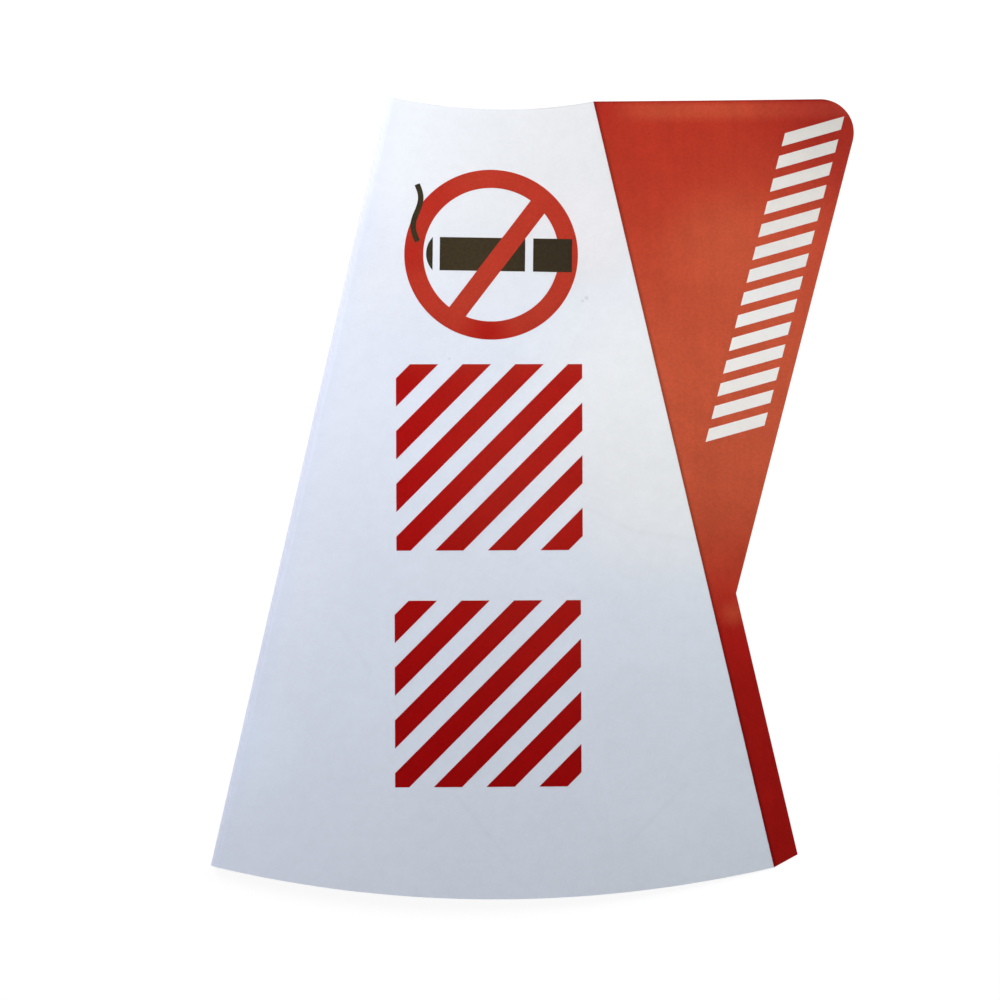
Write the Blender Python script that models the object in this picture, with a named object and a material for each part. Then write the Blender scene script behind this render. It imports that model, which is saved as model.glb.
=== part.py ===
"""No smoking sign for a road cone: one plastic sheet, folded into a flat sleeve.

The sheet is folded once, along the left side, and its two layers are bonded along the seam on the right: in
a narrow strip below and in a wide flag above. Between fold and seam the sleeve tapers as the cone does, and it
is open at the top and at the bottom. It lies on its back layer, as it does when it is stored.

Units are metres. +Y points to the sign's top, +X to its flag, and +Z out of its printed front.
The sleeve is laid out around the apex of its taper, where the lines of fold and seam would meet, and is
moved at the end so that the origin is at the middle of its box, on the surface that it lies on.
"""

import bmesh
import bpy
import numpy as np
from mathutils import Matrix, Vector
from math import atan2, cos, pi, radians, sin, tan

# Sheet and sleeve
SHEET = 0.0005                 # thickness of one layer
PANEL_ANGLE = radians(26.2)    # between fold and seam, seen flat
MOUTH_SLANT = 0.320            # from the apex down the seam to the top mouth
PANEL_SLANT = 0.5507           # length of the seam, from the top mouth to the bottom mouth
FOLD_LEAD = 0.0033             # how much nearer to the apex both mouths' corners at the fold lie
MOUTH_SAG = 0.0074             # dip of the top mouth's edge below its corners
FOOT_SAG = 0.0224              # dip of the bottom mouth's edge below its corners

# Soft shape of the flattened sleeve
FOLD_RADIUS = 0.0045           # outer radius of the fold
FOLD_RISE = radians(3.0)       # slope at which the front layer leaves the fold
SEAM_PARTING = radians(2.5)    # slope at which the front layer meets the seam

# Bonded strip below and flag above
STRIP_WIDTH = 0.0182           # square to the seam
STRIP_CUT_BACK = 0.0051        # slant of the strip's lower end, along the seam
FLAG_DROP = 0.358              # from the top of the seam down to where flag and strip meet
FLAG_REACH = 0.1886            # from the top of the seam out to the flag's corner, before it is rounded
FLAG_TOP_RISE = 0.0007         # height of that corner over the top of the seam
FLAG_CORNER_RADIUS = 0.0235
FLAG_CURL = 0.006              # lift of that corner off the surface

# Fineness of the facets
STATIONS = 18                  # sections along the slant
FOLD_STEPS = 12
BACK_STEPS = 8
FRONT_STEPS = 22
FLAG_STEPS = 8
MOUTH_STEPS = 20
FOOT_STEPS = 48
CORNER_STEPS = 30

# Room that the blanks and the cavity run past what trims them, and points closer than this are one
BLANK_ROOM = 0.012
CAVITY_ROOM = 0.006
SAME_POINT = 0.00001

# Worked out from the sizes above
HALF_ANGLE = PANEL_ANGLE / 2
FOOT_SLANT = MOUTH_SLANT + PANEL_SLANT
ALONG_FOLD = Vector((-sin(HALF_ANGLE), -cos(HALF_ANGLE)))
ALONG_SEAM = Vector((sin(HALF_ANGLE), -cos(HALF_ANGLE)))
OFF_SEAM = Vector((cos(HALF_ANGLE), sin(HALF_ANGLE)))


def seam_point(slant, offset=0.0):
    """Point of the plan at a distance from the apex along the seam, and at another out from the seam."""
    return ALONG_SEAM * slant + OFF_SEAM * offset


SEAM_TOP = seam_point(MOUTH_SLANT)
FLAG_CORNER = SEAM_TOP + Vector((FLAG_REACH, FLAG_TOP_RISE))
FLAG_DEPTH = (FLAG_CORNER - SEAM_TOP).dot(OFF_SEAM)


def new_collection(name):
    """Collection of that name in the scene."""
    made = bpy.data.collections.new(name)
    bpy.context.scene.collection.children.link(made)
    return made


def new_object(name, mesh, collection):
    """Object for a mesh, in a collection."""
    made = bpy.data.objects.new(name, mesh)
    collection.objects.link(made)
    return made


def back_line(width, height):
    """Back layer between the seam and the fold, both left out: level, as it lies on its surface."""
    return [(distance, height) for distance in np.linspace(width, FOLD_RADIUS, BACK_STEPS + 1)[1:-1]]


def fold_arc(inset):
    """Half round of the fold as (distance from the fold's edge, height), from the back layer up to the front.

    It stops short of the half circle by the slope at which the front layer leaves it.
    """
    turns = np.linspace(-pi / 2, -3 * pi / 2 + FOLD_RISE, FOLD_STEPS + 1)
    radius = FOLD_RADIUS - inset
    return [(FOLD_RADIUS + radius * cos(turn), FOLD_RADIUS + radius * sin(turn)) for turn in turns]


def front_curve(start, width, foot):
    """Front layer from the fold's last point to the seam: a cubic with a given slope at either end."""
    run = width - start[0]
    steps = np.linspace(0, 1, FRONT_STEPS + 1)[1:]
    heights = (start[1] * (1 - 3 * steps**2 + 2 * steps**3)
               + foot * (3 * steps**2 - 2 * steps**3)
               + run * tan(FOLD_RISE) * steps * (1 - steps) ** 2
               + run * tan(SEAM_PARTING) * steps**2 * (1 - steps))
    return [(start[0] + run * step, height) for step, height in zip(steps, heights)]


def flag_rise(offset):
    """Height of the flag's back: a parabola that lies flat at the seam and lifts towards the corner."""
    return FLAG_CURL * (offset / FLAG_DEPTH) ** 2


def place(slant, distance, height):
    """Point of the sleeve at a slant distance from the apex.

    Up to the seam the distance runs round the apex from the fold's edge, and past it straight out of the seam.
    """
    width = slant * PANEL_ANGLE
    if distance > width:
        plan = seam_point(slant, distance - width)
    else:
        turn = distance / slant - HALF_ANGLE
        plan = Vector((sin(turn), -cos(turn))) * slant
    return (plan.x, plan.y, height)


def outer_section(slant):
    """Outside of the sleeve and its bonded flag at one slant distance, as a closed loop."""
    width = slant * PANEL_ANGLE
    offsets = np.linspace(0, FLAG_DEPTH + BLANK_ROOM, FLAG_STEPS + 1)[1:]
    fold = fold_arc(0)
    front = front_curve(fold[-1], width, 2 * SHEET)
    back_of_flag = [(width + offset, flag_rise(offset)) for offset in offsets[::-1]]
    front_of_flag = [(width + offset, flag_rise(offset) + 2 * SHEET) for offset in offsets]
    loop = back_of_flag + [(width, 0.0)] + back_line(width, 0.0) + fold + front + front_of_flag
    return [place(slant, distance, height) for distance, height in loop]


def cavity_section(slant):
    """Inside of the sleeve at one slant distance, one sheet's thickness within the outside."""
    width = slant * PANEL_ANGLE
    fold = fold_arc(SHEET)
    loop = back_line(width, SHEET) + fold + front_curve(fold[-1], width, SHEET)
    return [place(slant, distance, height) for distance, height in loop]


def loft(name, section, first, last, collection):
    """Closed body through sections of one kind, evenly spaced between two slant distances."""
    shape = bmesh.new()
    rings = []
    for slant in np.linspace(first, last, STATIONS + 1):
        ring = [shape.verts.new(point) for point in section(float(slant))]
        rings.append([shape.edges.new(pair) for pair in zip(ring, ring[1:] + ring[:1])])
    for ring, following in zip(rings, rings[1:]):
        bmesh.ops.bridge_loops(shape, edges=ring + following)
    for end in (rings[0], rings[-1]):
        bmesh.ops.contextual_create(shape, geom=end)
    bmesh.ops.recalc_face_normals(shape, faces=shape.faces)
    mesh = bpy.data.meshes.new(name)
    shape.to_mesh(mesh)
    shape.free()
    return new_object(name, mesh, collection)


def arc(centre, radius, first, last, steps):
    """Points on a circle between two directions, both included."""
    return [centre + Vector((cos(turn), sin(turn))) * radius for turn in np.linspace(first, last, steps + 1)]


def mouth_edge(slant, sag, steps):
    """Edge of a mouth, from just past the fold over to the seam: an arc through its corners at both.

    The slant is that of the corner at the seam, and the sag is the arc's dip below the line between the corners.
    """
    fold_corner = ALONG_FOLD * (slant - FOLD_LEAD)
    seam_corner = seam_point(slant)
    chord = seam_corner - fold_corner
    radius = (chord.length_squared / 4 + sag**2) / (2 * sag)
    upward = Vector((-chord.y, chord.x)).normalized()
    centre = (fold_corner + seam_corner) / 2 + upward * (radius - sag)
    first = fold_corner - centre
    last = seam_corner - centre
    past = BLANK_ROOM / radius
    return arc(centre, radius, atan2(first.y, first.x) - past, atan2(last.y, last.x), steps)


def rounded_corner(before, corner, after, radius):
    """Corner of an outline rounded off: the arc that touches the sides towards both its neighbours."""
    back = (before - corner).normalized()
    onward = (after - corner).normalized()
    half = back.angle(onward) / 2
    centre = corner + (back + onward).normalized() * radius / sin(half)
    first = corner + back * radius / tan(half) - centre
    last = corner + onward * radius / tan(half) - centre
    start = atan2(first.y, first.x)
    sweep = (atan2(last.y, last.x) - start) % (2 * pi)
    return arc(centre, radius, start, start + sweep, CORNER_STEPS)


def die_line():
    """Outline that the folded sheet is cut to, anticlockwise; past the fold it runs clear of the sheet."""
    strip_foot = seam_point(FOOT_SLANT - STRIP_CUT_BACK, STRIP_WIDTH)
    notch = seam_point(MOUTH_SLANT + FLAG_DROP, STRIP_WIDTH)
    corner = rounded_corner(notch, FLAG_CORNER, SEAM_TOP, FLAG_CORNER_RADIUS)
    foot = mouth_edge(FOOT_SLANT, FOOT_SAG, FOOT_STEPS)
    mouth = mouth_edge(MOUTH_SLANT, MOUTH_SAG, MOUTH_STEPS)
    return foot + [strip_foot, notch] + corner + mouth[::-1]


def die_block(collection):
    """Upright block of the outline, tall enough to take in the whole sleeve."""
    outline = bpy.data.curves.new("die_line", "CURVE")
    outline.dimensions = "2D"
    outline.fill_mode = "BOTH"
    outline.extrude = 2 * FOLD_RADIUS + FLAG_CURL + BLANK_ROOM
    points = die_line()
    spline = outline.splines.new("POLY")
    spline.points.add(len(points) - 1)
    spline.use_cyclic_u = True
    for target, point in zip(spline.points, points):
        target.co = (point.x, point.y, 0, 1)
    drawn = new_object("die_line", outline, collection)
    bpy.context.view_layer.update()
    evaluated = drawn.evaluated_get(bpy.context.evaluated_depsgraph_get())
    mesh = bpy.data.meshes.new_from_object(evaluated)
    bpy.data.objects.remove(drawn)
    solid = bmesh.new()
    solid.from_mesh(mesh)
    bmesh.ops.remove_doubles(solid, verts=solid.verts, dist=SAME_POINT)
    bmesh.ops.recalc_face_normals(solid, faces=solid.faces)
    solid.to_mesh(mesh)
    solid.free()
    return new_object("die_block", mesh, collection)


def trim(body, cutter, operation):
    """Boolean of a body with a guide, which is kept out of sight."""
    cutter.display_type = "WIRE"
    cutter.hide_render = True
    step = body.modifiers.new(cutter.name, "BOOLEAN")
    step.operation = operation
    step.solver = "EXACT"
    step.object = cutter


def join_points(body):
    """Merge the points that the trimming leaves on top of each other."""
    step = body.modifiers.new("join_points", "WELD")
    step.merge_threshold = SAME_POINT


def plastic(name, color, roughness):
    """Principled material of a plastic."""
    material = bpy.data.materials.new(name)
    material.use_nodes = True
    shader = material.node_tree.nodes["Principled BSDF"]
    shader.inputs["Base Color"].default_value = (*color, 1)
    shader.inputs["Roughness"].default_value = roughness
    shader.inputs["Metallic"].default_value = 0
    return material


def settle(body, guides):
    """Move the body and its guides so that the origin is under the middle of the body's box."""
    bpy.context.view_layer.update()
    evaluated = body.evaluated_get(bpy.context.evaluated_depsgraph_get())
    points = np.array([vertex.co for vertex in evaluated.data.vertices])
    low, high = points.min(axis=0), points.max(axis=0)
    shift = Matrix.Translation((-(low[0] + high[0]) / 2, -(low[1] + high[1]) / 2, -low[2]))
    for thing in [body, *guides]:
        thing.data.transform(shift)


def build():
    """The whole sign."""
    for thing in list(bpy.data.objects):
        bpy.data.objects.remove(thing)
    sign = new_collection("no_smoking_sign")
    guides = new_collection("guides")
    first, last = MOUTH_SLANT - BLANK_ROOM, FOOT_SLANT + BLANK_ROOM
    sheet = loft("folded_sheet", outer_section, first, last, sign)
    cavity = loft("cavity", cavity_section, first - CAVITY_ROOM, last + CAVITY_ROOM, guides)
    block = die_block(guides)
    trim(sheet, block, "INTERSECT")
    trim(sheet, cavity, "DIFFERENCE")
    join_points(sheet)
    settle(sheet, [cavity, block])
    sheet.data.materials.append(plastic("white_plastic", (0.86, 0.88, 0.92), 0.35))


build()
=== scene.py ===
"""Looks of the no smoking sign: the folded plastic sheet, the inks printed on it, and the light it lies in.

Units are metres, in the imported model's frame: +Y points to the sign's top, +X to its flag, and +Z out of its
front. The sleeve tapers, so its plan is laid out round the apex of that taper, where the lines of fold and
seam would meet, and each finished piece is moved from there to its place.
"""

from math import cos, pi, radians, sin, sqrt, tan

import bmesh
import bpy
import numpy as np
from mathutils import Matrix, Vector


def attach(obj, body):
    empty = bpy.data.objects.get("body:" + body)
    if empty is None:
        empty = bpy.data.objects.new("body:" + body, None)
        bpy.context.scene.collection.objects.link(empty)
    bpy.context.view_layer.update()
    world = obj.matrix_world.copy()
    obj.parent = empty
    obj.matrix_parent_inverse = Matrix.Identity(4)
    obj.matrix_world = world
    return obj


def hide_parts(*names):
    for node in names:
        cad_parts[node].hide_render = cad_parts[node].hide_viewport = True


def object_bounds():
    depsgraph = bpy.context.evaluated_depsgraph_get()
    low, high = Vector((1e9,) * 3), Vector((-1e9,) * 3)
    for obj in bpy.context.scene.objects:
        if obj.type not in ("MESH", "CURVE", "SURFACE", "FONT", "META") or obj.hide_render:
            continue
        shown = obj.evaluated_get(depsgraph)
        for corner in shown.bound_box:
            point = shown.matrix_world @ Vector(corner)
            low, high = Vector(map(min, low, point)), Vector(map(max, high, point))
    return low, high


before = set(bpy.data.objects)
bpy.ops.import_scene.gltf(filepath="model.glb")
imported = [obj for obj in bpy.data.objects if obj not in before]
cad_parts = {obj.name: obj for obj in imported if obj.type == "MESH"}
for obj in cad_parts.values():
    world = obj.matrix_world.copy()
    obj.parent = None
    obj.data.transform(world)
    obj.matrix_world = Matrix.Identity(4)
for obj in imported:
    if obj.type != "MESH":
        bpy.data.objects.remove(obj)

CAD_LOW, CAD_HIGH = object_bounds()

# Sheet and sleeve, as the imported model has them
SHEET = 0.0005
PANEL_ANGLE = radians(26.2)
MOUTH_SLANT = 0.320
PANEL_SLANT = 0.5507
FOLD_LEAD = 0.0033
MOUTH_SAG = 0.0074
FOOT_SAG = 0.0224
FOLD_RADIUS = 0.0045
FOLD_RISE = radians(3.0)
SEAM_PARTING = radians(2.5)
STRIP_WIDTH = 0.0182
STRIP_CUT_BACK = 0.0051
FLAG_DROP = 0.358
FLAG_REACH = 0.1886
FLAG_TOP_RISE = 0.0007
FLAG_CORNER_RADIUS = 0.0235
FLAG_CURL = 0.006

HALF_ANGLE = PANEL_ANGLE / 2
FOOT_SLANT = MOUTH_SLANT + PANEL_SLANT
ALONG_FOLD = np.array((-sin(HALF_ANGLE), -cos(HALF_ANGLE)))
ALONG_SEAM = np.array((sin(HALF_ANGLE), -cos(HALF_ANGLE)))
OFF_SEAM = np.array((cos(HALF_ANGLE), sin(HALF_ANGLE)))
OFF_FOLD = np.array((cos(HALF_ANGLE), -sin(HALF_ANGLE)))
SEAM_TOP = ALONG_SEAM * MOUTH_SLANT
SEAM_FOOT = ALONG_SEAM * FOOT_SLANT
FLAG_CORNER = SEAM_TOP + (FLAG_REACH, FLAG_TOP_RISE)
UNDER_TOP = np.array((FLAG_TOP_RISE, -FLAG_REACH)) / np.hypot(FLAG_REACH, FLAG_TOP_RISE)
FLAG_DEPTH = float((FLAG_CORNER - SEAM_TOP) @ OFF_SEAM)
NOTCH = ALONG_SEAM * (MOUTH_SLANT + FLAG_DROP) + OFF_SEAM * STRIP_WIDTH
STRIP_FOOT = ALONG_SEAM * (FOOT_SLANT - STRIP_CUT_BACK) + OFF_SEAM * STRIP_WIDTH
UP_EDGE = (FLAG_CORNER - NOTCH) / np.linalg.norm(FLAG_CORNER - NOTCH)
OFF_EDGE = np.array((-UP_EDGE[1], UP_EDGE[0]))

# Slow waves that the sheet keeps from being handled
DIP = 0.0005                   # deepest dip of the front layer
DIP_WAVES = ((31, 12, 0.4), (-14, 38, 2.1), (9, 21, 4.0))    # radians a metre over X and Y, and phase
RIPPLE = 0.0006                # highest ripple of the flag
RIPPLE_WAVES = ((26, 17, 1.0), (-11, 29, 3.3))

# Thickness of one pass of ink, and how many passes thick each print is
INK = 0.00005
UNDER_PASSES = 1               # what another print crosses
RED_PASSES = 2
SLASH_PASSES = 1.8             # just under the ring, which it joins
OVER_PASSES = 3                # what lies on top of another print
SKIN = OVER_PASSES * INK       # depth of the bare sheet under the finished surface
SUNK = 0.00001                 # how far an ink's underside reaches into the sheet

# Fineness of the surfaces
FLAG_ROWS = 78
STRIP_ROWS = 42
ARC_ROWS = 30
FRONT_STEPS = 80
FOLD_STEPS = 24
BACK_STEPS = 30
TAIL_STEPS = 24
SETTLING = 8                   # rounds that find where a column meets the top mouth
RING_STEPS = (180, 6)          # round it and across, and along and across each of the other prints
SLASH_STEPS = (40, 8)
BLOCK_STEPS = (20, 8)
EMBER_STEPS = (24, 4)
SMOKE_STEPS = (48, 4)
HATCH_STEPS = (40, 8)
BAR_STEPS = (12, 4)
WELD = 0.000001
EDGE_ANGLE = radians(35)

# Ring and slash
RING_PLACE = np.array((0.0008, -0.4191))
RING_OUTER = np.array((0.0606, 0.0593))    # half its width and half its height
RING_INNER = np.array((0.0474, 0.0466))
SLASH_LEAN = radians(52.5)
SLASH_WIDTH = 0.0131
SLASH_OFFSET = 0.0055          # of its centre line, to the lower right of the ring's centre
SLASH_LAP = 0.0015             # how far its ends run under the ring

# Cigarette, from the ring's centre
CIGARETTE_DROOP = radians(0.8)
BODY_LEFT = -0.0359
BODY_RIGHT = 0.0237
FILTER_LEFT = 0.0293
FILTER_RIGHT = 0.0565
CIGARETTE_TOP = 0.0118
CIGARETTE_FOOT = -0.0114
EMBER_CHORD = -0.0408
EMBER_BULGE = 0.0046
SMOKE_MIDDLE = -0.0517
SMOKE_SWING = 0.0027
SMOKE_TOP = 0.0491
SMOKE_CREST = 0.0397           # height of its rightmost bend
SMOKE_FOOT = 0.0093
SMOKE_WAVE = 0.0396
SMOKE_WIDTH = 0.0038

# Two square blocks of plain hatching under the ring
HATCH_SIDE = 0.130
HATCH_BAR = 0.014
HATCH_PITCH = 0.026
HATCH_PLACES = {"upper": np.array((-0.0009, -0.5605)), "lower": np.array((-0.0023, -0.7254))}

# Row of slanted bars along the flag's outer edge
BARS = 14
BARS_START = 0.1187            # from the notch along the edge
BARS_PITCH = 0.0164
BAR_THICKNESS = 0.0095
BAR_WIDTH = 0.037              # square to the edge
BARS_MARGIN = 0.010            # from the edge
BAR_SLANT = radians(30)        # by which a bar's inner end lies lower

# Marks on the front: smudges by place and radius, and faint creases from place to place
SMUDGES = (((0.0386, 0.1394), 0.0024), ((0.0357, 0.1372), 0.0015), ((-0.0574, 0.0970), 0.0012))
SMUDGE_GREY = (0.200, 0.205, 0.210)
SMUDGE_SHARE = 0.26
CREASES = (
    ((0.0336, -0.0052), (0.0721, -0.0241)),
    ((0.0721, -0.0241), (0.1127, -0.0300)),
    ((-0.0609, -0.1977), (-0.0154, -0.2550)),
    ((0.0651, -0.2432), (0.1071, -0.2012)),
    ((-0.1379, -0.0857), (-0.1134, -0.1207)),
)
CREASE_WIDTH = 0.003
CREASE_DEPTH = 0.00002
# painted shade along the creases
CREASE_SHADE = 0.025

# Tones of sheet and inks. Colours are shares of red, green and blue. A ramp gives two places, and what it comes to
# at each of them where that isn't 0 and 1. A cloud gives its middle, its radius, the radius of its even core, its
# share and its colour.
# Painted light: the white is lighter high up than low down, and at the top lighter to the left than to the right
WHITE_LOW = (0.785, 0.837, 0.909)
WHITE_HIGH = (0.810, 0.853, 0.914)
WHITE_TOP_LEFT = (0.838, 0.860, 0.868)
WHITE_TOP_RIGHT = (0.792, 0.788, 0.786)
WHITE_RISE = (-0.16, 0.08)
WHITE_TOP_SPAN = (-0.10, 0.06)
WHITE_TOP_RISE = (0.09, 0.21)
# Painted light in soft clouds over the white
WHITE_CLOUDS = (
    ((0.1036, 0.0543), 0.145, 0.050, 1.0, (0.897, 0.907, 0.911)),      # painted light, paler beside the seam
    ((0.0390, 0.1870), 0.050, 0.010, 1.0, (0.850, 0.830, 0.835)),      # painted warm light between ring and flag
    ((-0.1190, 0.1800), 0.050, 0.010, 1.0, (0.795, 0.825, 0.868)),     # painted cool light between fold and ring
    ((-0.2060, -0.1700), 0.055, 0.010, 1.0, (0.805, 0.880, 0.960)),    # painted light, paler low beside the fold
)
FOLD_BLUE = (0.740, 0.815, 0.940)      # painted cool light in a band along the fold
FOLD_BAND = (0.002, 0.018, 0.27, 0.0)
FLAG_WHITE_TINT = (1.02, 0.97, 0.905)  # painted warm haze on the white of the flag
FLAG_START = (0.0, 0.004)
FRONT_SIDE = (0.0006, 0.0010)          # heights at which the back's looks give way to the front's
LIP_WIDTH = 0.0015                     # painted shade in a darker line along the right half of the top mouth
LIP_SHADE = 0.10
LIP_START = (-0.008, 0.010)
FOLD_EDGE = (0.0, 0.0050, 1.0, 0.0)    # painted shade at the edge of the fold, and how dark it is from height to height
FOLD_EDGE_SHADE = (0.04, 0.22, 0.16, 0.05)

RED_LOW = (0.360, 0.0034, 0.0039)      # painted light: the panel's deep red, low down and lighter high up
RED_HIGH = (0.431, 0.0063, 0.0058)
RED_RISE = (-0.20, 0.05)
RING_RED = (0.480, 0.0365, 0.0195)     # painted haze: the warmer, lighter red over the ring
RING_RISE = (0.075, 0.135)
RING_SPOTS = (                         # where the painted haze leaves the ring deep red: place, radius and share
    ((-0.0310, 0.1152), 0.024, 1.0),
    ((-0.0862, 0.1700), 0.022, 0.45),
    ((-0.0665, 0.2083), 0.030, 0.35),
)
STRIP_RED = (0.375, 0.0090, 0.0072)    # painted light: the red pales from the strip up into the flag, and deepens on to the flag's top
FLAG_RED = (0.567, 0.0872, 0.0388)
FLAG_RISE = (-0.107, 0.019)
FLAG_TOP_RED = (0.449, 0.0330, 0.0165)
FLAG_TOP_RAMP = (0.065, 0.240)
FLAG_TOP_LEAN = 0.35                   # by which that ramp climbs away from the seam
HIGHLIGHT_RED = (0.560, 0.0900, 0.0400)     # painted highlight on the band under the top edge and on the bend under the notch
BAND_START = (0.0, 0.004)              # painted highlight in a band under the flag's top edge, growing away from the seam
BAND_END = (0.008, 0.017)
BAND_GROWTH = (0.0, 0.045)
BAND_SHARE = 0.55
NOTCH_BEND = (0.1405, -0.0815)         # small bend of the strip just under the notch
BEND_HIGHLIGHT = 0.11                       # painted highlight: by which the red is brighter round it
BEND_RADIUS = 0.055
BEND_CORE = 0.020
# Painted highlights on the flag: round the bend under the notch, and a paler haze over its middle
FLAG_CLOUDS = (
    (NOTCH_BEND, 0.013, 0.0, 0.45, HIGHLIGHT_RED),
    ((0.1365, 0.1698), 0.060, 0.010, 0.8, FLAG_RED),
)
SEAM_LINE = (0.0003, 0.0030, 0.62, 1.0)    # painted shade in the pressed line beside the seam, and along the top edge
TOP_LINE = (0.0, 0.0016, 0.74, 1.0)
CORNER_TINT = (0.90, 0.60, 0.82)       # painted shade: the deeper red at the flag's top corners and its outer rim
FLAG_CORNER_SPOT = (0.10, 0.03)
SEAM_CORNER_SPOT = (0.030, 0.004)
SEAM_CORNER_SHARE = 0.7
OUTER_RIM = (0.006, 0.014, 0.3, 0.0)
OUTER_RIM_RISE = (0.07, 0.15)
SEAM_STEP = (-0.0002, 0.0)             # where the panel's red gives way to the strip's and the flag's

# Painted light: the dark ink is paler to the left
DARK_LEFT = (0.043, 0.033, 0.017)
DARK_RIGHT = (0.032, 0.025, 0.0145)
DARK_SPAN = (-0.09, 0.03)

# Mottle: noises by waves a metre, detail and share, the span of them that is used, and depths
WHITE_NOISES = ((12, 3.0, 0.4), (110, 2.0, 0.3), (420, 2.0, 0.3))
RED_NOISES = ((520, 2.0, 0.5), (60, 2.0, 0.3), (18, 2.0, 0.2))
DARK_NOISES = ((480, 2.0, 1.0),)
NOISE_SPAN = (0.3, 0.7)
WHITE_MOTTLE = 0.03
INK_MOTTLE = 0.10
STREAKS = 170
STREAK_STRETCH = (1, 0.06, 1)
STREAK_DEPTH = 0.025

# Grain of the calendered sheet, and how dull it is
GRAIN = 1400
GRAIN_DEPTH = 0.000006
GRAIN_DULLING = 0.05
PEEL = 90
PEEL_DEPTH = 0.00005
PATCHES = 14
PATCH_DETAIL = 3.0
PATCH_DULLING = 0.06
FOLD_DULLING = (0.0, 0.008, 0.14, 0.0)
SHEET_ROUGHNESS = 0.24
INK_ROUGHNESS = 0.20
CORNER_SHADE = 0.24                    # painted shade over the flag's top corner
CORNER_SHADE_RADIUS = 0.11

# Camera and stage
FRAME_WIDTH = 0.700            # width of the floor that the picture takes in
VIEW_CENTRE = Vector((-0.0224, -0.0017, 0))
CAMERA_HEIGHT = 2.4
CAMERA_ROLL = radians(0.18)
SENSOR = 36.0                  # millimetres
FLOOR_RADIUS = 16
FLOOR_START = 0.3              # radius of its innermost circle
FLOOR_CIRCLES = 12
FLOOR_TURNS = 96
FLOOR_GAP = 0.0002
FLOOR_PAPER = (0.88, 0.88, 0.88, 1)
FLOOR_WHITE = 1.08             # strength of the plain white further out
FLOOR_FADE = (0.35, 1.2, 0.86, 1.0)    # share of that white by distance from the origin
WHITE, BLACK = (1, 1, 1, 1), (0, 0, 0, 1)
ROOM_STOPS = ((0.0, WHITE), (0.28, WHITE), (0.32, BLACK), (1.0, BLACK))     # by height of the direction looked in
MIRRORED_DROP = 0.10           # by which the white ends lower in the shine

# Lamps: place, point aimed at, width and height, watts, colour, and whether the sheet's shine mirrors it
LAMPS = {
    "left_key": ((-0.7, 0.7, 0.9), (0, 0, 0), (0.7, 0.7), 15.8, (0.88, 0.865, 1.0), False),
    "right_key": ((0.8, 0.8, 0.9), (0, 0, 0), (0.7, 0.7), 11.1, (0.93, 1.0, 0.90), False),
    "warm_card": ((0.25, 0.2, 2.4), (0.25, 0.2, 0), (0.2, 0.6), 0.35, (1.0, 0.60, 0.29), True),
}


def mouth_circle(slant, sag):
    """Centre and radius of a mouth's edge, which is an arc through its corners at fold and seam.

    The slant is that of the corner at the seam, and the sag is the arc's dip below the line between the corners.
    """
    corners = ALONG_FOLD * (slant - FOLD_LEAD), ALONG_SEAM * slant
    chord = corners[1] - corners[0]
    length = np.linalg.norm(chord)
    radius = (length**2 / 4 + sag**2) / (2 * sag)
    upward = np.array((-chord[1], chord[0])) / length
    return (corners[0] + corners[1]) / 2 + upward * (radius - sag), radius


# Place of the apex: the foot of the fold is the sleeve's leftmost point, and the bottom mouth's arc its lowest
FOOT_CENTRE, FOOT_RADIUS = mouth_circle(FOOT_SLANT, FOOT_SAG)
APEX = np.array((CAD_LOW.x, CAD_LOW.y)) - (ALONG_FOLD[0] * (FOOT_SLANT - FOLD_LEAD), FOOT_CENTRE[1] - FOOT_RADIUS)


def ray(slants, turns):
    """Plan points at distances from the apex, along rays turned away from the sleeve's middle line."""
    return np.stack([slants * np.sin(turns), -slants * np.cos(turns)], axis=-1)


def waves(plan, kinds):
    """Mean of plane sine waves over plan points, brought to lie between 0 and 1."""
    total = sum(np.sin(plan[..., 0] * across + plan[..., 1] * along + phase) for across, along, phase in kinds)
    return 0.5 + 0.5 * total / len(kinds)


def mouth_slants(turns, slant, sag):
    """Distances from the apex to a mouth's edge along rays: where each ray meets the circle of the edge."""
    centre, radius = mouth_circle(slant, sag)
    along = ray(1, turns) @ centre
    return along + np.sqrt(along**2 - centre @ centre + radius**2)


def fold_arc(inset):
    """Half round of the fold, as distances from the fold's edge and heights, from back layer to front."""
    turns = np.linspace(-pi / 2, -3 * pi / 2 + FOLD_RISE, FOLD_STEPS + 1)
    radius = FOLD_RADIUS - inset
    return FOLD_RADIUS + radius * np.cos(turns), FOLD_RADIUS + radius * np.sin(turns)


def front_height(slants, distances, inset):
    """Height of the front layer at a depth under its finished surface.

    From fold to seam it is a cubic with a given slope at either end, less shallow waves that die out there.
    """
    fold_distances, fold_heights = fold_arc(inset)
    start, top = fold_distances[-1], fold_heights[-1]
    run = slants * PANEL_ANGLE - start
    share = np.clip((distances - start) / run, 0, 1)
    ends = top * (1 - 3 * share**2 + 2 * share**3) + (2 * SHEET - inset) * (3 * share**2 - 2 * share**3)
    bulge = run * (tan(FOLD_RISE) * share * (1 - share) ** 2 + tan(SEAM_PARTING) * share**2 * (1 - share))
    dips = DIP * 4 * share * (1 - share) * waves(ray(slants, distances / slants - HALF_ANGLE), DIP_WAVES)
    return ends + bulge - dips


def tail_rise(plan):
    """Lift of the bonded strip and flag: a parabola out from the seam, with ripples that grow the same way."""
    share = np.clip(plan @ OFF_SEAM / FLAG_DEPTH, 0, 1)
    return share**2 * (FLAG_CURL + RIPPLE * waves(plan, RIPPLE_WAVES))


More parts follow.
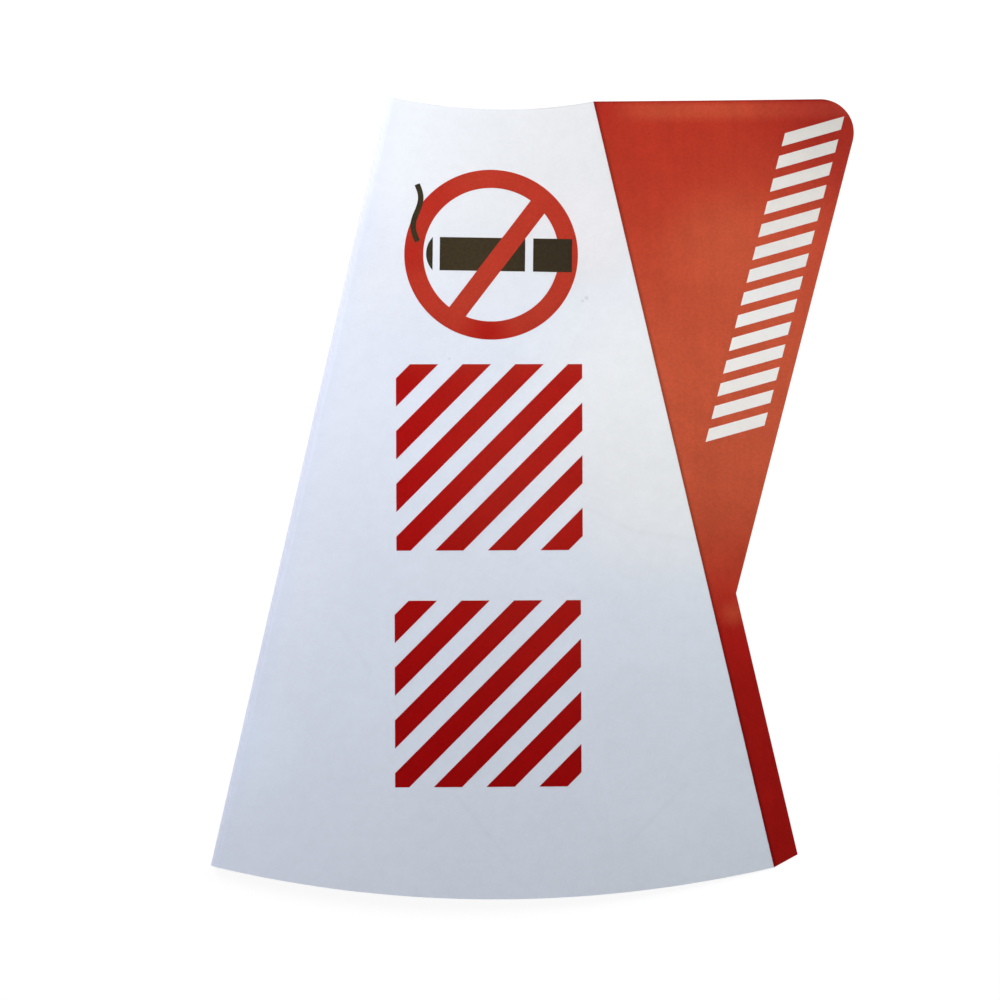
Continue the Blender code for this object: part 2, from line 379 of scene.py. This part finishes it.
def front_of_sign(plan, inset):
    """Height of the printed front over plan points, at a depth under its finished surface."""
    slants = np.hypot(plan[..., 0], plan[..., 1])
    turns = np.arctan2(plan[..., 0], -plan[..., 1])
    sleeve = front_height(slants, slants * (turns + HALF_ANGLE), inset)
    tail = tail_rise(plan) + 2 * SHEET - inset
    return np.where(plan @ OFF_SEAM > 0, tail, sleeve)


def back_of_sign(plan, inset):
    """Height of the back over plan points, at a depth above its finished surface."""
    return tail_rise(plan) + inset


def between(first, last, steps):
    """Grid of points that steps from one edge over to another, each edge an array of as many points."""
    share = np.linspace(0, 1, steps + 1)[:, None, None]
    return first * (1 - share) + last * share


def line(first, last, steps):
    """Evenly spaced points from one to another."""
    return np.linspace(np.asarray(first, float), np.asarray(last, float), steps + 1)


def lifted(plan, heights):
    """Points in space from plan points and their heights."""
    return np.concatenate([plan, heights[..., None]], axis=-1)


def grid_faces(rows, columns, first):
    """Four-sided faces of a grid of points that are numbered row by row."""
    number = np.arange(rows * columns).reshape(rows, columns) + first
    corners = (number[:-1, :-1], number[:-1, 1:], number[1:, 1:], number[1:, :-1])
    return np.stack(corners, axis=-1).reshape(-1, 4)


def made_piece(name, grids, finish):
    """Piece from grids of points that close round a solid: welded, faces outwards, sharp only at its edges."""
    faces = []
    count = 0
    for grid in grids:
        rows, columns = grid.shape[:2]
        faces.append(grid_faces(rows, columns, count))
        count += rows * columns
    points = np.concatenate([grid.reshape(-1, 3) for grid in grids])
    points[:, :2] += APEX
    mesh = bpy.data.meshes.new(name)
    mesh.from_pydata(points.tolist(), [], np.concatenate(faces).tolist())
    shape = bmesh.new()
    shape.from_mesh(mesh)
    bmesh.ops.remove_doubles(shape, verts=shape.verts, dist=WELD)
    bmesh.ops.recalc_face_normals(shape, faces=shape.faces)
    shape.to_mesh(mesh)
    shape.free()
    mesh.shade_smooth()
    mesh.set_sharp_from_angle(angle=EDGE_ANGLE)
    mesh.materials.append(finish)
    made = bpy.data.objects.new(name, mesh)
    bpy.context.scene.collection.objects.link(made)
    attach(made, "root")
    return made


def row_shares():
    """Shares of the fold's length at which the sheet has its rows, one of them where flag and strip meet."""
    meeting = FLAG_DROP / PANEL_SLANT
    return np.concatenate([np.linspace(0, meeting, FLAG_ROWS + 1), np.linspace(meeting, 1, STRIP_ROWS + 1)[1:]])


def sleeve_wall(inset):
    """Outside or inside of the sleeve: columns from the seam along the back, round the fold and over the front.

    A column keeps its share of the layer's width all the way down. It ends where it meets the edges of both
    mouths, found by going back and forth between the slant and the turn that the slant gives.
    """
    fold_distances, fold_heights = fold_arc(inset)
    back_shares = np.linspace(1, 0, BACK_STEPS + 1)[:-1]
    front_shares = np.linspace(0, 1, FRONT_STEPS + 1)[1:]
    start = fold_distances[-1]

    def distances(slants):
        width = slants * PANEL_ANGLE
        back = FOLD_RADIUS + (width[..., :BACK_STEPS] - FOLD_RADIUS) * back_shares
        fold = fold_distances + 0 * slants[..., BACK_STEPS:-FRONT_STEPS]
        front = start + (width[..., -FRONT_STEPS:] - start) * front_shares
        return np.concatenate([back, fold, front], axis=-1)

    tops = np.full(BACK_STEPS + FOLD_STEPS + 1 + FRONT_STEPS, MOUTH_SLANT)
    feet = np.full(tops.shape, FOOT_SLANT)
    for _ in range(SETTLING):
        tops = mouth_slants(distances(tops) / tops - HALF_ANGLE, MOUTH_SLANT, MOUTH_SAG)
        feet = mouth_slants(distances(feet) / feet - HALF_ANGLE, FOOT_SLANT, FOOT_SAG)
    slants = tops + row_shares()[:, None] * (feet - tops)
    away = distances(slants)
    front = front_height(slants, away, inset)[:, -FRONT_STEPS:]
    back = np.full((len(slants), BACK_STEPS), inset)
    fold = fold_heights + np.zeros((len(slants), 1))
    heights = np.concatenate([back, fold, front], axis=1)
    return lifted(ray(slants, away / slants - HALF_ANGLE), heights)


def rounded_corner():
    """Flag's rounded corner, as points from its top edge round to its outer edge: an arc touching both."""
    inward = (SEAM_TOP - FLAG_CORNER) / np.linalg.norm(SEAM_TOP - FLAG_CORNER)
    downward = (NOTCH - FLAG_CORNER) / np.linalg.norm(NOTCH - FLAG_CORNER)
    half = np.arccos(inward @ downward) / 2
    middle = (inward + downward) / np.linalg.norm(inward + downward)
    centre = FLAG_CORNER + middle * FLAG_CORNER_RADIUS / sin(half)
    turns = line((half - pi / 2,), (pi / 2 - half,), ARC_ROWS)
    sideways = np.array((-middle[1], middle[0]))
    return centre + FLAG_CORNER_RADIUS * (sideways * np.sin(turns) - middle * np.cos(turns))


def tail_plan():
    """Plan of strip and flag: rows from the seam out to the cut edge, first round the flag, then down the strip."""
    seam = SEAM_TOP + row_shares()[:, None] * (SEAM_FOOT - SEAM_TOP)
    corner = rounded_corner()
    edge = line(corner[-1], NOTCH, FLAG_ROWS - ARC_ROWS)[1:]
    strip = line(NOTCH, STRIP_FOOT, STRIP_ROWS)[1:]
    return between(seam, np.concatenate([corner, edge, strip]), TAIL_STEPS).transpose(1, 0, 2)


def make_sheet(finish):
    """The folded sheet: outside, inside, the cut rims of both mouths, and the bonded strip and flag."""
    outside = sleeve_wall(SKIN)
    inside = sleeve_wall(SHEET)
    rims = [np.stack([outside[row], inside[row]]) for row in (0, -1)]
    plan = tail_plan()
    front = lifted(plan, tail_rise(plan) + 2 * SHEET - SKIN)
    back = lifted(plan, tail_rise(plan) + SKIN)
    cut = np.concatenate([plan[0], plan[1:, -1], plan[-1, -2::-1]])
    levels = [lifted(cut, tail_rise(cut) + height) for height in (SKIN, SHEET, 2 * SHEET - SKIN)]
    sheet = made_piece("sheet", [outside, inside, *rims, front, back, np.stack(levels)], finish)
    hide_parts("folded_sheet")


def plate(plan, surface, passes, closed=False):
    """Ink over a grid of plan points: its upper face, its underside in the sheet, and walls between them."""
    face = lifted(plan, surface(plan, SKIN - passes * INK))
    under = lifted(plan, surface(plan, SKIN + SUNK))
    walls = [np.stack([face[row], under[row]]) for row in (0, -1)]
    if not closed:
        walls += [np.stack([face[:, column], under[:, column]]) for column in (0, -1)]
    return [face, under, *walls]


def ring_plan():
    """Ring, a little wider than high, between two ellipses."""
    around, across = RING_STEPS
    turns = np.linspace(0, 2 * pi, around + 1)[:, None]
    circle = np.concatenate([np.cos(turns), np.sin(turns)], axis=1)
    return between(RING_PLACE + circle * RING_INNER, RING_PLACE + circle * RING_OUTER, across)


def slash_plan():
    """Straight band across the ring, its ends following the ring's inner edge a little way under it."""
    along, across = SLASH_STEPS
    lean = np.array((cos(SLASH_LEAN), sin(SLASH_LEAN)))
    aside = np.array((lean[1], -lean[0]))
    offsets = line((SLASH_OFFSET - SLASH_WIDTH / 2,), (SLASH_OFFSET + SLASH_WIDTH / 2,), across)
    reach = np.sqrt((RING_INNER.mean() + SLASH_LAP) ** 2 - offsets**2)
    middle = RING_PLACE + offsets * aside
    return between(middle - reach * lean, middle + reach * lean, along)


def drooped(plan):
    """Plan of a part of the cigarette, turned a little about the ring's centre and moved there."""
    x, y = plan[..., 0], plan[..., 1]
    turned = (x * cos(CIGARETTE_DROOP) + y * sin(CIGARETTE_DROOP), y * cos(CIGARETTE_DROOP) - x * sin(CIGARETTE_DROOP))
    return RING_PLACE + np.stack(turned, axis=-1)


def block_plan(left, right):
    """Rectangle as tall as the cigarette is thick."""
    along, across = BLOCK_STEPS
    ends = [line((x, CIGARETTE_FOOT), (x, CIGARETTE_TOP), across) for x in (left, right)]
    return drooped(between(*ends, along))


def ember_plan():
    """Glowing end: the part of a circle beyond a chord."""
    along, across = EMBER_STEPS
    middle = (CIGARETTE_TOP + CIGARETTE_FOOT) / 2
    half = (CIGARETTE_TOP - CIGARETTE_FOOT) / 2
    radius = (half**2 + EMBER_BULGE**2) / (2 * EMBER_BULGE)
    heights = np.linspace(-half, half, along + 1)
    bulge = np.sqrt(radius**2 - heights**2) - radius + EMBER_BULGE
    chord = np.stack([EMBER_CHORD + 0 * heights, middle + heights], axis=1)
    bow = np.stack([EMBER_CHORD - bulge, middle + heights], axis=1)
    return drooped(between(chord, bow, across))


def smoke_plan():
    """Curl of smoke: a ribbon of even width along a cosine wave."""
    along, across = SMOKE_STEPS
    heights = np.linspace(SMOKE_TOP, SMOKE_FOOT, along + 1)
    phase = 2 * pi * (SMOKE_CREST - heights) / SMOKE_WAVE
    centre = np.stack([SMOKE_MIDDLE + SMOKE_SWING * np.cos(phase), heights], axis=1)
    downward = np.gradient(centre, axis=0)
    downward /= np.linalg.norm(downward, axis=1)[:, None]
    aside = np.stack([downward[:, 1], -downward[:, 0]], axis=1) * SMOKE_WIDTH / 2
    return between(RING_PLACE + centre - aside, RING_PLACE + centre + aside, across)


def hatch_plans(place):
    """Bars at 45 degrees clipped to a square: along each line y = x - shift, x runs as far as the square does."""
    along, across = HATCH_STEPS
    half = HATCH_SIDE / 2
    bars = int((half * sqrt(2) - HATCH_BAR / 2) / HATCH_PITCH)
    plans = []
    for bar in range(-bars, bars + 1):
        first, last = ((bar * HATCH_PITCH + side * HATCH_BAR / 2) * sqrt(2) for side in (-1, 1))
        shifts = line((first,), (last,), across)
        left = np.maximum(-half, shifts - half)
        right = np.minimum(half, shifts + half)
        x = left + (right - left) * np.linspace(0, 1, along + 1)
        plans.append(place + np.stack([x, x - shifts], axis=-1))
    return plans


def flag_bar_plans():
    """Slanted bars in a row beside the flag's outer edge, from the notch upwards."""
    along, across = BAR_STEPS
    inward = OFF_EDGE * BAR_WIDTH - UP_EDGE * BAR_WIDTH * tan(BAR_SLANT)
    plans = []
    for bar in range(BARS):
        foot = NOTCH + OFF_EDGE * BARS_MARGIN + UP_EDGE * (BARS_START + bar * BARS_PITCH)
        top = foot + UP_EDGE * BAR_THICKNESS
        plans.append(between(line(foot, foot + inward, along), line(top, top + inward, along), across))
    return plans


def print_side(side, surface, facing, inks):
    """Everything printed on one side of the sign; facing is -1 where the motifs are seen from behind."""
    def ink(name, slot, passes, plans, closed=False):
        plates = [grid for plan in plans for grid in plate(plan, surface, passes, closed)]
        made_piece(f"{name}_{side}", plates, inks[slot])

    def turned(plan):
        return plan * (facing, 1)

    ink("flag_field", "red_ink", RED_PASSES, [tail_plan()])
    ink("flag_bars", "white_plastic", OVER_PASSES, flag_bar_plans())
    ink("ring", "red_ink", RED_PASSES, [turned(ring_plan())], closed=True)
    ink("slash", "red_ink", SLASH_PASSES, [turned(slash_plan())])
    ink("cigarette_body", "dark_ink", UNDER_PASSES, [turned(block_plan(BODY_LEFT, BODY_RIGHT))])
    ink("cigarette_filter", "dark_ink", OVER_PASSES, [turned(block_plan(FILTER_LEFT, FILTER_RIGHT))])
    ink("ember", "dark_ink", UNDER_PASSES, [turned(ember_plan())])
    ink("smoke", "dark_ink", OVER_PASSES, [turned(smoke_plan())])
    for name, place in HATCH_PLACES.items():
        ink(f"{name}_hatch", "red_ink", RED_PASSES, [turned(plan) for plan in hatch_plans(place)])


class Field:
    """A number or colour that changes over a surface; sums and products of numbers become Math nodes."""

    def __init__(self, finish, socket):
        self.finish = finish
        self.socket = socket

    def __add__(self, other):
        return self.finish.math("ADD", self, other)

    def __sub__(self, other):
        return self.finish.math("SUBTRACT", self, other)

    def __rsub__(self, other):
        return self.finish.math("SUBTRACT", other, self)

    def __mul__(self, other):
        return self.finish.math("MULTIPLY", self, other)

    __radd__ = __add__
    __rmul__ = __mul__


class Finish:
    """A material in the making: its nodes, and the sockets they feed."""

    def __init__(self, tree):
        self.tree = tree

    def feed(self, socket, value):
        """Link a field to a socket, or set the socket to a plain value."""
        if isinstance(value, Field):
            self.tree.links.new(value.socket, socket)
        else:
            socket.default_value = value

    def node(self, kind, settings=None, values=None, output=0):
        """Add a node: its settings first, then its sockets' values or links; gives one of its outputs."""
        made = self.tree.nodes.new(kind)
        for name, value in (settings or {}).items():
            if name == "stops":
                ramp = made.color_ramp.elements
                while len(ramp) < len(value):
                    ramp.new(1)
                for stop, (position, color) in zip(ramp, value):
                    stop.position = position
                    stop.color = color
            else:
                setattr(made, name, value)
        for name, value in (values or {}).items():
            self.feed(made.inputs[name], value)
        return Field(self, made.outputs[output])

    def place(self):
        """Place on the piece, in metres."""
        return self.node("ShaderNodeTexCoord", output="Object")

    def axis(self, name):
        """One coordinate of the place on the piece."""
        return self.node("ShaderNodeSeparateXYZ", None, {0: self.place()}, output=name)

    def beyond(self, point, direction):
        """How far a place lies beyond a point of the plan, in a given direction."""
        values = {0: self.place(), 1: (*direction, 0)}
        reach = self.node("ShaderNodeVectorMath", {"operation": "DOT_PRODUCT"}, values, "Value")
        return reach - float(np.dot(point, direction))

    def away(self, point):
        """Distance over the plan from a point."""
        flat = self.node("ShaderNodeVectorMath", {"operation": "MULTIPLY"}, {0: self.place(), 1: (1, 1, 0)})
        return self.node("ShaderNodeVectorMath", {"operation": "DISTANCE"}, {0: flat, 1: (*point, 0)}, "Value")

    def spot(self, point, radius, core=0.0):
        """Soft round spot on the plan: 1 within its core, falling to 0 at its radius."""
        return self.ramped(self.away(point), core, radius, 1.0, 0.0)

    def stroke(self, start, end, width):
        """Soft straight stroke from one point of the plan to another, fading to the sides and at its ends."""
        start, end = np.array(start), np.array(end)
        length = float(np.linalg.norm(end - start))
        along = (end - start) / length
        aside = self.math("ABSOLUTE", self.beyond(start, (along[1], -along[0])), 0)
        ahead = self.beyond(start, along)
        middle = self.ramped(ahead, 0.0, width) - self.ramped(ahead, length, length + width)
        return self.ramped(aside, 0.0, width, 1.0, 0.0) * middle

    def math(self, operation, first, second):
        """Sum, product or the like of two numbers."""
        return self.node("ShaderNodeMath", {"operation": operation}, {0: first, 1: second})

    def noise(self, scale, detail=2.0, stretch=(1, 1, 1)):
        """Smooth noise over the piece, between 0 and 1; scale is in waves a metre, before any stretch by axis."""
        place = self.node("ShaderNodeVectorMath", {"operation": "MULTIPLY"}, {0: self.place(), 1: stretch})
        values = {"Vector": place, "Scale": scale, "Detail": detail}
        return self.node("ShaderNodeTexNoise", {"noise_dimensions": "3D"}, values)

    def mottle(self, noise, depth):
        """Factor that wanders with a noise by a depth to either side of 1."""
        return self.ramped(noise, *NOISE_SPAN, 1.0 - depth, 1.0 + depth)

    def noises(self, kinds):
        """Sum of noises, each given by its scale, its detail and its share."""
        return sum(self.noise(scale, detail) * share for scale, detail, share in kinds)

    def ramped(self, value, low, high, out_low=0.0, out_high=1.0):
        """Value brought smoothly from one range to another, and held at its ends."""
        values = {"Value": value, 1: low, 2: high, 3: out_low, 4: out_high}
        return self.node("ShaderNodeMapRange", {"interpolation_type": "SMOOTHSTEP"}, values)

    def mix(self, share, first, second):
        """Colour between two others, each given as three numbers or as a field."""
        values = {0: share}
        for socket, color in ((6, first), (7, second)):
            values[socket] = color if isinstance(color, Field) else (*color, 1)
        return self.node("ShaderNodeMix", {"data_type": "RGBA"}, values, output=2)

    def clouded(self, color, clouds):
        """Colour with soft round clouds of other colours laid over it one after the other."""
        for place, radius, core, share, tone in clouds:
            color = self.mix(self.spot(place, radius, core) * share, color, tone)
        return color

    def tinted(self, color, tint):
        """Colour with its red, green and blue each multiplied."""
        return self.node("ShaderNodeVectorMath", {"operation": "MULTIPLY"}, {0: color, 1: tint})

    def scaled(self, color, factor):
        """Colour made lighter or darker."""
        return self.node("ShaderNodeVectorMath", {"operation": "SCALE"}, {0: color, "Scale": factor})

    def corner_shade(self):
        """Factor of painted shade that darkens the flag's top corner."""
        return 1.0 - self.spot(APEX + FLAG_CORNER, CORNER_SHADE_RADIUS) * CORNER_SHADE


def surface_finish(name):
    """New material, with the shader it ends in."""
    material = bpy.data.materials.new(name)
    material.use_nodes = True
    return material, material.node_tree.nodes["Principled BSDF"], Finish(material.node_tree)


def add_sheet_grain(finish, shader, roughness, creases=0.0):
    """The calendered sheet's fine grain and slow unevenness, as bumps and as patches of duller shine.

    Along the fold, where the sheet has been stretched, it is dull.
    """
    grain = finish.noise(GRAIN)
    heights = grain * GRAIN_DEPTH + finish.noise(PEEL) * PEEL_DEPTH - creases
    normal = finish.node("ShaderNodeBump", None, {"Height": heights, "Distance": 1.0, "Strength": 1.0})
    finish.feed(shader.inputs["Normal"], normal)
    dulling = finish.noise(PATCHES, PATCH_DETAIL) * PATCH_DULLING + grain * GRAIN_DULLING
    fold = finish.ramped(finish.beyond(APEX, OFF_FOLD), *FOLD_DULLING)
    least = roughness - (PATCH_DULLING + GRAIN_DULLING) / 2
    finish.feed(shader.inputs["Roughness"], dulling + fold + least)


def white_plastic():
    """Cool white sheet, smudged and creased. Painted light makes it warmer and lighter to the top, paler beside the
    seam, clouded, cooler along the fold and warmer on the flag.

    Painted shade darkens it along the edge of the fold, in a fine line along the right half of the top mouth, along
    the creases and over the flag's top corner.
    """
    material, shader, finish = surface_finish("white_plastic")
    height, across = finish.axis("Y"), finish.axis("X")
    # Painted light: lighter towards the top, and at the top lighter to the left than to the right
    color = finish.mix(finish.ramped(height, *WHITE_RISE), WHITE_LOW, WHITE_HIGH)
    top = finish.mix(finish.ramped(across, *WHITE_TOP_SPAN), WHITE_TOP_LEFT, WHITE_TOP_RIGHT)
    color = finish.mix(finish.ramped(height, *WHITE_TOP_RISE), color, top)
    # Painted light in clouds over the white
    color = finish.clouded(color, WHITE_CLOUDS)
    from_fold = finish.beyond(APEX, OFF_FOLD)
    # Painted cool light along the fold
    color = finish.mix(finish.ramped(from_fold, *FOLD_BAND), color, FOLD_BLUE)
    # Painted warm haze on the white of the flag
    on_flag = finish.ramped(finish.beyond(APEX, OFF_SEAM), *FLAG_START)
    color = finish.mix(on_flag, color, finish.tinted(color, FLAG_WHITE_TINT))
    front = finish.ramped(finish.axis("Z"), *FRONT_SIDE)
    smudges = sum(finish.spot(place, radius) for place, radius in SMUDGES)
    color = finish.mix(smudges * front * SMUDGE_SHARE, color, SMUDGE_GREY)
    # Painted shade in a fine line at the lip of the top mouth
    centre, radius = mouth_circle(MOUTH_SLANT, MOUTH_SAG)
    lip = finish.ramped(finish.away(APEX + centre), radius, radius + LIP_WIDTH, LIP_SHADE, 0.0)
    lip = lip * finish.ramped(across, *LIP_START)
    # Painted shade along the creases
    creases = sum(finish.stroke(start, end, CREASE_WIDTH) for start, end in CREASES)
    lines = 1.0 - (lip + creases * CREASE_SHADE) * front
    # Painted shade along the edge of the fold
    edge = 1.0 - finish.ramped(from_fold, *FOLD_EDGE) * finish.ramped(height, *FOLD_EDGE_SHADE)
    mottle = finish.mottle(finish.noises(WHITE_NOISES), WHITE_MOTTLE)
    finish.feed(shader.inputs["Base Color"], finish.scaled(color, mottle * lines * edge * finish.corner_shade()))
    add_sheet_grain(finish, shader, SHEET_ROUGHNESS, creases * front * CREASE_DEPTH)
    return material


def red_ink():
    """Screened red, finely mottled.

    On the panel it is deep, with painted light that lightens it higher up and warms it in the ring. On the flag a
    painted haze pales it most over the middle, painted shade deepens it at the top corners and the outer rim and
    darkens it in the pressed line beside the seam and along the top edge, with faint streaks down from there. Under
    the notch, where the strip is bent a little, a painted highlight makes it brighter.
    """
    material, shader, finish = surface_finish("red_ink")
    height = finish.axis("Y")
    aside = finish.beyond(APEX, OFF_SEAM)
    # Painted light: the panel's red lightens upwards and warms over the ring
    deep = finish.mix(finish.ramped(height, *RED_RISE), RED_LOW, RED_HIGH)
    warm = 1.0 - sum(finish.spot(place, radius) * share for place, radius, share in RING_SPOTS)
    panel = finish.mix(finish.ramped(height, *RING_RISE) * warm, deep, RING_RED)
    # Painted light: the flag's red pales upwards into a haze and deepens again to its top
    pale = finish.mix(finish.ramped(height, *FLAG_RISE), STRIP_RED, FLAG_RED)
    flag = finish.mix(finish.ramped(height - aside * FLAG_TOP_LEAN, *FLAG_TOP_RAMP), pale, FLAG_TOP_RED)
    depth = finish.beyond(APEX + SEAM_TOP, UNDER_TOP)
    # Painted highlight in a band under the flag's top edge
    band = finish.ramped(depth, *BAND_START) - finish.ramped(depth, *BAND_END)
    flag = finish.mix(band * finish.ramped(aside, *BAND_GROWTH) * BAND_SHARE, flag, HIGHLIGHT_RED)
    flag = finish.clouded(flag, FLAG_CLOUDS)
    # Painted shade in the pressed line beside the seam and along the top edge
    edges = finish.ramped(aside, *SEAM_LINE) * finish.ramped(depth, *TOP_LINE)
    # Painted shade at the flag's top corners and its outer rim
    flag_corner = finish.spot(APEX + FLAG_CORNER, *FLAG_CORNER_SPOT)
    seam_corner = finish.spot(APEX + SEAM_TOP, *SEAM_CORNER_SPOT) * SEAM_CORNER_SHARE
    outer = finish.ramped(finish.beyond(APEX + NOTCH, OFF_EDGE), *OUTER_RIM) * finish.ramped(height, *OUTER_RIM_RISE)
    flag = finish.mix(flag_corner + seam_corner + outer, flag, finish.tinted(flag, CORNER_TINT))
    streaks = finish.mottle(finish.noise(STREAKS, stretch=STREAK_STRETCH), STREAK_DEPTH)
    # Painted highlight round the bend under the notch
    bend = 1.0 + finish.spot(NOTCH_BEND, BEND_RADIUS, BEND_CORE) * BEND_HIGHLIGHT
    flag = finish.scaled(flag, edges * streaks * bend)
    color = finish.mix(finish.ramped(aside, *SEAM_STEP), panel, flag)
    mottle = finish.mottle(finish.noises(RED_NOISES), INK_MOTTLE)
    finish.feed(shader.inputs["Base Color"], finish.scaled(color, mottle * finish.corner_shade()))
    add_sheet_grain(finish, shader, INK_ROUGHNESS)
    return material


def dark_ink():
    """Screened brown-black, with painted light that makes it a little paler to the left."""
    material, shader, finish = surface_finish("dark_ink")
    # Painted light: paler to the left
    color = finish.mix(finish.ramped(finish.axis("X"), *DARK_SPAN), DARK_LEFT, DARK_RIGHT)
    mottle = finish.mottle(finish.noises(DARK_NOISES), INK_MOTTLE)
    finish.feed(shader.inputs["Base Color"], finish.scaled(color, mottle))
    add_sheet_grain(finish, shader, INK_ROUGHNESS)
    return material


def make_floor():
    """Pale floor, a large disc: a grid of circles round the origin, closed at the middle.

    To the camera and in reflections it is lit paper near the sign and turns to plain white further out.
    """
    radii = np.concatenate([[0], np.geomspace(FLOOR_START, FLOOR_RADIUS, FLOOR_CIRCLES)])[:, None]
    turns = np.linspace(0, 2 * pi, FLOOR_TURNS + 1)[None, :]
    grid = np.stack([radii * np.cos(turns), radii * np.sin(turns), 0 * radii * turns - FLOOR_GAP], axis=-1)
    mesh = bpy.data.meshes.new("floor")
    mesh.from_pydata(grid.reshape(-1, 3).tolist(), [], grid_faces(*grid.shape[:2], 0).tolist())
    shape = bmesh.new()
    shape.from_mesh(mesh)
    bmesh.ops.remove_doubles(shape, verts=shape.verts, dist=WELD)
    shape.normal_update()
    shape.to_mesh(mesh)
    shape.free()
    material = bpy.data.materials.new("paper_floor")
    material.use_nodes = True
    finish = Finish(material.node_tree)
    output = material.node_tree.nodes["Material Output"]
    lit = finish.node("ShaderNodeBsdfDiffuse", None, {"Color": FLOOR_PAPER})
    plain = finish.node("ShaderNodeEmission", None, {"Color": WHITE, "Strength": FLOOR_WHITE})
    reach = finish.node("ShaderNodeVectorMath", {"operation": "LENGTH"}, {0: finish.place()}, output="Value")
    away = finish.ramped(reach, *FLOOR_FADE)
    seen = finish.node("ShaderNodeLightPath", output="Is Camera Ray")
    mirrored = finish.node("ShaderNodeLightPath", output="Is Glossy Ray")
    mixed = finish.node("ShaderNodeMixShader", None, {0: away * (seen + mirrored), 1: lit, 2: plain})
    finish.feed(output.inputs["Surface"], mixed)
    mesh.materials.append(material)
    floor = bpy.data.objects.new("floor", mesh)
    bpy.context.scene.collection.objects.link(floor)


def make_world():
    """Room round the sign: white low down, dark overhead.

    In the sheet's shine the white ends lower still, so that the inks keep their colour when seen from low down.
    """
    world = bpy.data.worlds.new("room")
    world.use_nodes = True
    bpy.context.scene.world = world
    finish = Finish(world.node_tree)
    direction = finish.node("ShaderNodeTexCoord", output="Generated")
    height = finish.node("ShaderNodeSeparateXYZ", None, {0: direction}, output="Z")
    mirrored = finish.node("ShaderNodeLightPath", output="Is Glossy Ray")
    color = finish.node("ShaderNodeValToRGB", {"stops": ROOM_STOPS}, {0: height + mirrored * MIRRORED_DROP})
    finish.feed(world.node_tree.nodes["Background"].inputs["Color"], color)


def make_lamps():
    """A cool key from the top left, a weaker one from the top right, and a small warm card high over the flag.

    The keys light the sign without a glare that would wash its colours out from the other side.
    """
    for name, (place, target, size, power, color, mirrored) in LAMPS.items():
        lamp = bpy.data.lights.new(name, "AREA")
        lamp.shape = "RECTANGLE"
        lamp.size, lamp.size_y = size
        lamp.energy = power
        lamp.color = color
        made = bpy.data.objects.new(name, lamp)
        made.location = place
        made.rotation_euler = (Vector(target) - Vector(place)).to_track_quat("-Z", "Y").to_euler()
        made.visible_glossy = mirrored
        bpy.context.scene.collection.objects.link(made)


def make_camera():
    """Camera straight over the sign, with its top up in the picture."""
    camera = bpy.data.cameras.new("camera")
    camera.sensor_width = SENSOR
    camera.lens = SENSOR * CAMERA_HEIGHT / FRAME_WIDTH
    made = bpy.data.objects.new("camera", camera)
    made.location = VIEW_CENTRE + Vector((0, 0, CAMERA_HEIGHT))
    made.rotation_euler.z = -CAMERA_ROLL
    bpy.context.scene.collection.objects.link(made)
    bpy.context.scene.camera = made


inks = {"white_plastic": white_plastic(), "red_ink": red_ink(), "dark_ink": dark_ink()}
make_sheet(inks["white_plastic"])
print_side("front", front_of_sign, 1, inks)
print_side("back", back_of_sign, -1, inks)
make_floor()
make_world()
make_lamps()
make_camera()
bpy.context.scene.view_settings.view_transform = "Standard"
